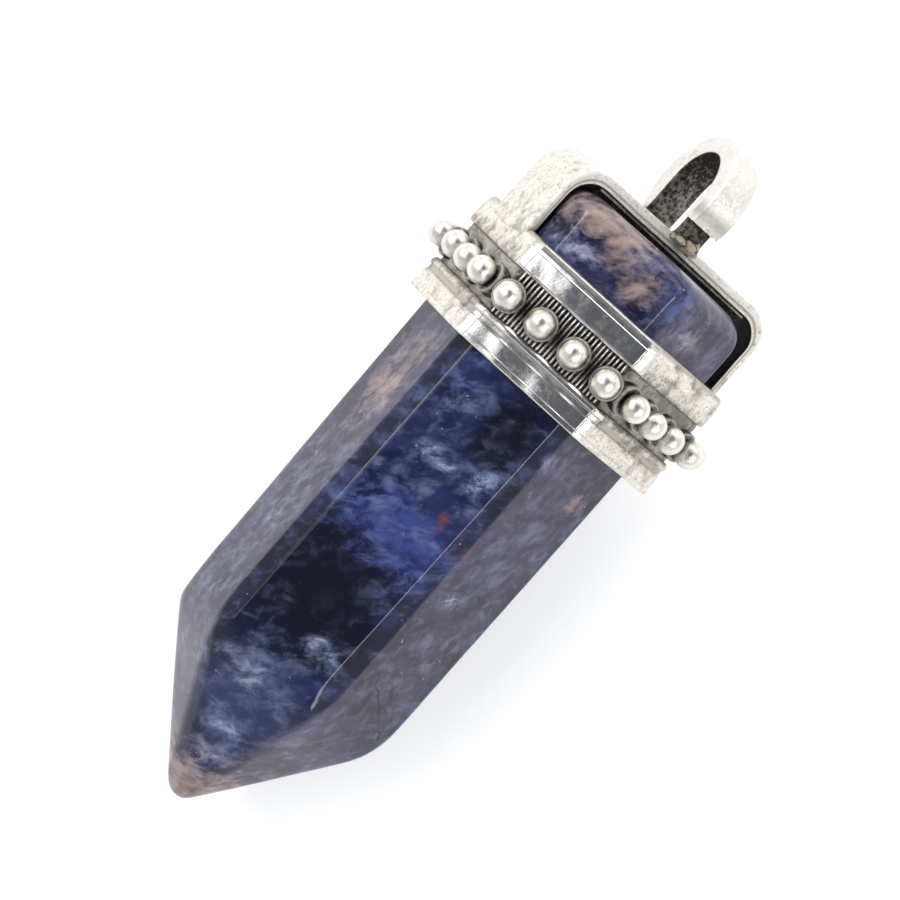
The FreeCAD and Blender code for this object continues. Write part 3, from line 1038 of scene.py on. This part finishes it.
def crack(tree, where, start, end, width):
    """A thin ragged line on the front between two (across, height) points."""
    (x0, z0), (x1, z1) = start, end
    span = math.hypot(x1 - x0, z1 - z0)
    ux, uz = (x1 - x0) / span, (z1 - z0) / span
    ragged = node(tree, "ShaderNodeTexNoise", {"Vector": where, "Scale": 1.1, "Detail": 3.0})
    moved = {0: where, 1: ragged.outputs["Color"]}
    moved = node(tree, "ShaderNodeVectorMath", moved, operation="ADD").outputs[0]
    offset = {0: moved, 1: (x0 + 0.5, 0.5, z0 + 0.5)}
    offset = node(tree, "ShaderNodeVectorMath", offset, operation="SUBTRACT").outputs[0]
    onward = dot(tree, offset, (ux, 0, uz))
    away = math_node(tree, "ABSOLUTE", dot(tree, offset, (uz, 0, -ux)))
    line = ramp(tree, away, width / 2, width, 1.0, 0.0)
    begun = ramp(tree, onward, 0.0, 0.2)
    ended = ramp(tree, onward, span - 0.2, span, 1.0, 0.0)
    near = ramp(tree, dot(tree, where, (0, 1, 0)), -0.5, 0.5, 1.0, 0.0)
    return times(tree, times(tree, line, times(tree, begun, ended)), near)


# Colours of the stone
# Ink: the stone's darkest tone, also the colour of the painted shade on the bevels
INK_AND_SHADE = (0.0060, 0.0065, 0.0150, 1)
NAVY = (0.0085, 0.0105, 0.0330, 1)
BLUE = (0.0175, 0.0240, 0.0800, 1)
COBALT = (0.0360, 0.0540, 0.1750, 1)
# Slate and lilac of the painted reflection on the slanted facets
LILAC_SHEEN = (0.0500, 0.0400, 0.0800, 1)
SLATE_SHEEN = (0.0100, 0.0080, 0.0250, 1)
MIST = (0.1800, 0.2150, 0.3600, 1)
GREY_MIST = (0.1900, 0.1750, 0.2700, 1)
WHITE = (0.4300, 0.4500, 0.5300, 1)
PEACH = (0.3700, 0.2620, 0.2200, 1)
RUST = (0.1600, 0.0480, 0.0300, 1)
CRACK_BLACK = (0.0040, 0.0040, 0.0060, 1)
# Cracks on the stone's front: start and end as (across, height), width
CRACKS = (
    ((5.9, 16.8), (8.9, 12.8), 0.07),
    ((-8.6, 35.8), (-8.3, 33.2), 0.09),
)
# The stone's clouds are drawn out along a slant: its turn in radians, the scale along it
LAYER_SLANT = -0.96
LAYER_STRETCH = 0.62


def stone_ground(tree, clouds, fine):
    """The stone's blue ground, with cobalt bands and dark zones, the painted reflection that greys
    the slanted facets, and the painted shade on the bevels.
    """
    colour = mix(tree, ramp(tree, clouds, 0.38, 0.60), NAVY, BLUE)
    lit = times(tree, read(tree, "cobalt"), ramp(tree, fine, 0.34, 0.60, 0.25, 1.0))
    colour = mix(tree, ramp(tree, lit, 0.1, 0.9), colour, COBALT)
    cloudy = math_node(tree, "MULTIPLY_ADD", fine, 0.45, times(tree, clouds, 0.55))
    # Painted reflection: where the grey is set, the ground turns slate and lilac
    dull = mix(tree, ramp(tree, cloudy, 0.40, 0.60), SLATE_SHEEN, LILAC_SHEEN)
    colour = mix(tree, times(tree, read(tree, "grey"), 0.72), colour, dull)
    dark_and_shade = times(tree, read(tree, "dark"), ramp(tree, fine, 0.70, 0.42, 0.35, 1.0))
    return mix(tree, ramp(tree, dark_and_shade, 0.15, 0.65, 0.0, 0.92), colour, INK_AND_SHADE)


def stone_clouds(tree, colour, where, layers, fine):
    """Pale veins and torn clouds over the ground, with a white web in the clouds."""
    # The pale veins turn greyer under the painted reflection
    mist = mix(tree, times(tree, read(tree, "grey"), 0.75), MIST, GREY_MIST)
    lighter = math_node(tree, "MULTIPLY_ADD", read(tree, "dark"), -0.75, 1.0, clamp=True)
    long_veins = veins(tree, layers, 0.20, 0.075, 0.5)
    small_veins = veins(tree, layers, 0.50, 0.070, 0.4)
    lines = math_node(tree, "MAXIMUM", long_veins, times(tree, small_veins, 0.7))
    lines = times(tree, lines, ramp(tree, fine, 0.40, 0.72, 0.0, 0.9))
    lines = times(tree, lines, lighter)
    colour = mix(tree, times(tree, lines, 0.6), colour, mist)
    pale = read(tree, "pale")
    torn = ramp(tree, math_node(tree, "MULTIPLY_ADD", pale, 0.16, fine), 0.47, 0.77)
    cloud = times(tree, torn, ramp(tree, pale, 0.06, 0.80))
    colour = mix(tree, times(tree, cloud, 0.75), colour, mist)
    grain = noise(tree, where, 3.2, 6.0, 0.65)
    web = math_node(tree, "MAXIMUM", small_veins, ramp(tree, grain, 0.46, 0.68))
    web = times(tree, web, ramp(tree, cloud, 0.35, 0.95))
    return mix(tree, times(tree, web, 0.5), colour, WHITE)


def stone_spots(tree, colour, where, fine):
    """Peach patches, rust spots and small white specks."""
    warm = read(tree, "warm")
    patch = ramp(tree, math_node(tree, "MULTIPLY_ADD", warm, 0.26, fine), 0.50, 0.92)
    patch = times(tree, patch, ramp(tree, warm, 0.05, 0.6))
    colour = mix(tree, times(tree, patch, 0.8), colour, PEACH)
    colour = mix(tree, ramp(tree, read(tree, "rust"), 0.20, 1.0, 0.0, 0.75), colour, RUST)
    specks = ramp(tree, noise(tree, where, 2.6, 1.0, 0.4), 0.775, 0.80)
    return mix(tree, times(tree, specks, 0.4), colour, WHITE)


def stone_material():
    """Polished dark blue stone with clouds, veins, patches and two cracks."""
    material, tree = new_material("veined_blue_stone")
    where = read(tree, "upright", "Vector")
    layers = {"Vector": where, "Rotation": (0.0, LAYER_SLANT, 0.0)}
    layers = node(tree, "ShaderNodeMapping", layers).outputs[0]
    layers = {"Vector": layers, "Scale": (1.0, 1.0, LAYER_STRETCH)}
    layers = node(tree, "ShaderNodeMapping", layers).outputs[0]
    clouds = noise(tree, layers, 0.24, 8.0, 0.62, 0.5)
    fine = noise(tree, layers, 0.85, 9.0, 0.68, 0.35)
    colour = stone_ground(tree, clouds, fine)
    colour = stone_clouds(tree, colour, where, layers, fine)
    colour = stone_spots(tree, colour, where, fine)
    first, second = [crack(tree, where, *line) for line in CRACKS]
    split = math_node(tree, "MAXIMUM", first, second)
    height = math_node(tree, "MULTIPLY_ADD", fine, 0.1, times(tree, split, -1.0))
    bump = {"Height": height, "Strength": 0.35, "Distance": 0.00003}
    shader = {
        "Base Color": mix(tree, split, colour, CRACK_BLACK),
        "Roughness": ramp(tree, fine, 0.35, 0.75, 0.06, 0.12),
        "Normal": node(tree, "ShaderNodeBump", bump).outputs[0],
        "IOR": 1.38,
    }
    shade(tree, shader)
    return material


# Colours of the metal. Silver goes from the first tone to the second in soft patches.
BRIGHT_SILVER = ((0.85, 0.83, 0.795, 1), (0.76, 0.73, 0.685, 1))
DULL_SILVER = ((0.86, 0.81, 0.725, 1), (0.68, 0.625, 0.54, 1))
GOLD = (0.56, 0.43, 0.25, 1)
# Soot, which is also the colour of the painted shade
SOOT_AND_SHADE = (0.030, 0.025, 0.021, 1)


def hollow_soot_and_shade(tree, cast):
    """Soot where the metal is shut in, and the patina and painted shade that its points ask for."""
    shut = node(tree, "ShaderNodeAmbientOcclusion", {"Distance": 0.0011}, samples=8).outputs["AO"]
    hidden = ramp(tree, shut, 0.30, 0.92, 1.0, 0.0)
    hidden = times(tree, hidden, ramp(tree, cast, 0.25, 0.6, 0.75, 1.0))
    patina_and_painted_shade = times(tree, read(tree, "patina"), ramp(tree, cast, 0.34, 0.66, 1.2, 0.84))
    return math_node(tree, "MAXIMUM", times(tree, hidden, 0.95), patina_and_painted_shade, clamp=True)


def blot_soot(tree, where, matte):
    """Blots and specks of soot, strongest on the matte skin and where there is grime."""
    cloudy = noise(tree, where, 0.75, 7.0, 0.72)
    dirty = math_node(tree, "MULTIPLY_ADD", read(tree, "grime"), 0.13, cloudy)
    blots = ramp(tree, dirty, 0.48, 0.74, 0.0, 0.72)
    specks = ramp(tree, noise(tree, where, 4.5, 5.0, 0.72), 0.54, 0.68, 0.0, 0.85)
    spots = math_node(tree, "MAXIMUM", blots, specks)
    return times(tree, spots, math_node(tree, "MULTIPLY_ADD", matte, 0.75, 0.22))


def silver_bump(tree, where, cast, matte):
    """The cast skin's unevenness, which is strongest where it is matte."""
    grain = noise(tree, where, 14.0, 3.0, 0.6)
    fine = times(tree, grain, math_node(tree, "MULTIPLY_ADD", matte, 0.85, 0.01))
    coarse = math_node(tree, "MULTIPLY_ADD", matte, 1.7, 0.05)
    skin = math_node(tree, "MULTIPLY_ADD", cast, coarse, fine)
    bump = node(tree, "ShaderNodeBump", {"Height": skin, "Strength": 0.75, "Distance": 0.00012})
    return bump.outputs[0]


def silver_material():
    """Antique silver: polished or grainy, black in its hollows and blots, and black where shade is
    painted on it.
    """
    material, tree = new_material("antique_silver")
    where = read(tree, "upright", "Vector")
    matte = read(tree, "matte")
    broad = noise(tree, where, 0.5, 4.0, 0.6, 0.3)
    cast = noise(tree, where, 3.2, 5.0, 0.65, 0.2)
    bright = mix(tree, ramp(tree, broad, 0.35, 0.65), *BRIGHT_SILVER)
    dull = mix(tree, ramp(tree, cast, 0.3, 0.7), *DULL_SILVER)
    colour = mix(tree, times(tree, matte, 0.85), bright, dull)
    gold = times(tree, read(tree, "warm"), ramp(tree, cast, 0.35, 0.6))
    colour = mix(tree, gold, colour, GOLD)
    soot_and_shade = math_node(tree, "MAXIMUM", hollow_soot_and_shade(tree, cast), blot_soot(tree, where, matte))
    rough = math_node(tree, "MULTIPLY_ADD", matte, 0.30, 0.11)
    rough = math_node(tree, "MULTIPLY_ADD", soot_and_shade, 0.22, rough)
    rough = math_node(tree, "ADD", rough, ramp(tree, cast, 0.3, 0.7, -0.03, 0.06))
    shader = {
        "Base Color": mix(tree, soot_and_shade, colour, SOOT_AND_SHADE),
        "Metallic": 1.0,
        "Roughness": rough,
        "Normal": silver_bump(tree, where, cast, matte),
    }
    shade(tree, shader)
    return material


# The studio, in metres and watts
FLOOR_SIZE = 4.0
FLOOR_TONES = ((0.93, 0.935, 0.94, 1), (0.95, 0.95, 0.95, 1))
FLOOR_GLOW = (0.96, 0.98, 1.0, 1)
FLOOR_GLOW_STRENGTH = 0.26
SKY_LOW = (1.0, 1.0, 1.0, 1)
SKY_HIGH = (0.14, 0.155, 0.19, 1)
SKY_STRENGTH = 0.85
# Lights: name, place, size across and up, power
LIGHTS = (
    ("left_softbox", (-0.42, 0.10, 0.42), (0.20, 0.45), 2.0),
    ("right_softbox", (0.42, -0.07, 0.43), (0.12, 0.50), 1.4),
    ("near_card", (-0.165, -0.10, 0.47), (0.16, 0.30), 0.30),
    ("far_softbox", (0.0, 0.62, 0.34), (0.8, 0.3), 1.5),
)
# The camera's lens and sensor in millimetres, its directions, and its place in metres
CAMERA_LENS = 220.0
CAMERA_SENSOR = 36.0
CAMERA_NEAREST = 0.01
CAMERA_RIGHT = (0.73716, 0.67574, -0.00413)
CAMERA_UP = (-0.67203, 0.73371, 0.10037)
CAMERA_BACK = (0.07085, -0.07122, 0.99494)
CAMERA_PLACE = (0.02591, -0.02613, 0.38916)


def floor_material():
    """Pale paper that glows faintly, so that it stays near white."""
    material, tree = new_material("studio_floor")
    where = node(tree, "ShaderNodeTexCoord").outputs["Object"]
    shader = {
        "Base Color": mix(tree, noise(tree, where, 3.0, 2.0, 0.55), *FLOOR_TONES),
        "Roughness": 0.9,
        "Specular IOR Level": 0.1,
        "Emission Color": FLOOR_GLOW,
        "Emission Strength": FLOOR_GLOW_STRENGTH,
    }
    shade(tree, shader)
    return material


def put(name, data, right, up, back, place):
    """Puts a lamp or camera in the scene, by its three directions and its place."""
    thing = bpy.data.objects.new(name, data)
    scene.collection.objects.link(thing)
    matrix = np.eye(4)
    matrix[:3] = np.stack((right, up, back, place), axis=1)
    thing.matrix_world = Matrix(matrix.tolist())
    return thing


def make_light(name, place, size, power):
    """A rectangular light that faces the pendant."""
    data = bpy.data.lights.new(name, "AREA")
    data.shape = "RECTANGLE"
    data.size, data.size_y = size
    data.energy = power
    back = np.array(place) / np.linalg.norm(place)
    side = np.cross((0, 1, 0), back)
    side /= np.linalg.norm(side)
    put(name, data, side, np.cross(back, side), back, place)


def make_sky():
    """A white surround that is darker straight above."""
    world = bpy.data.worlds.new("soft_studio")
    scene.world = world
    world.use_nodes = True
    tree = world.node_tree
    tree.nodes.clear()
    direction = node(tree, "ShaderNodeTexCoord").outputs["Generated"]
    height = node(tree, "ShaderNodeSeparateXYZ", {0: direction}).outputs["Z"]
    tint = mix(tree, ramp(tree, height, 0.62, 0.90, 1.0, 0.0), SKY_HIGH, SKY_LOW)
    glow = node(tree, "ShaderNodeBackground", {"Color": tint, "Strength": SKY_STRENGTH})
    tree.links.new(glow.outputs[0], node(tree, "ShaderNodeOutputWorld").inputs["Surface"])


def make_camera():
    """The camera, where the photograph was taken from."""
    data = bpy.data.cameras.new("camera")
    data.lens = CAMERA_LENS
    data.sensor_width = CAMERA_SENSOR
    data.clip_start = CAMERA_NEAREST
    return put("camera", data, CAMERA_RIGHT, CAMERA_UP, CAMERA_BACK, CAMERA_PLACE)


stone = make_stone_shell().build("stone_point", stone_material())
cap = make_cap_shell().build("silver_cap", silver_material())

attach(stone, "root")
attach(cap, "root")
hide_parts("crystal_point")
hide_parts("cast_cap")

bpy.ops.mesh.primitive_plane_add(size=FLOOR_SIZE, location=(0, 0, 0))
floor = bpy.context.object
floor.name = "floor"
floor.data.materials.append(floor_material())

for light in LIGHTS:
    make_light(*light)
make_sky()
scene.camera = make_camera()
scene.view_settings.view_transform = "Standard"
scene.view_settings.look = "None"
scene.view_settings.exposure = 0.0
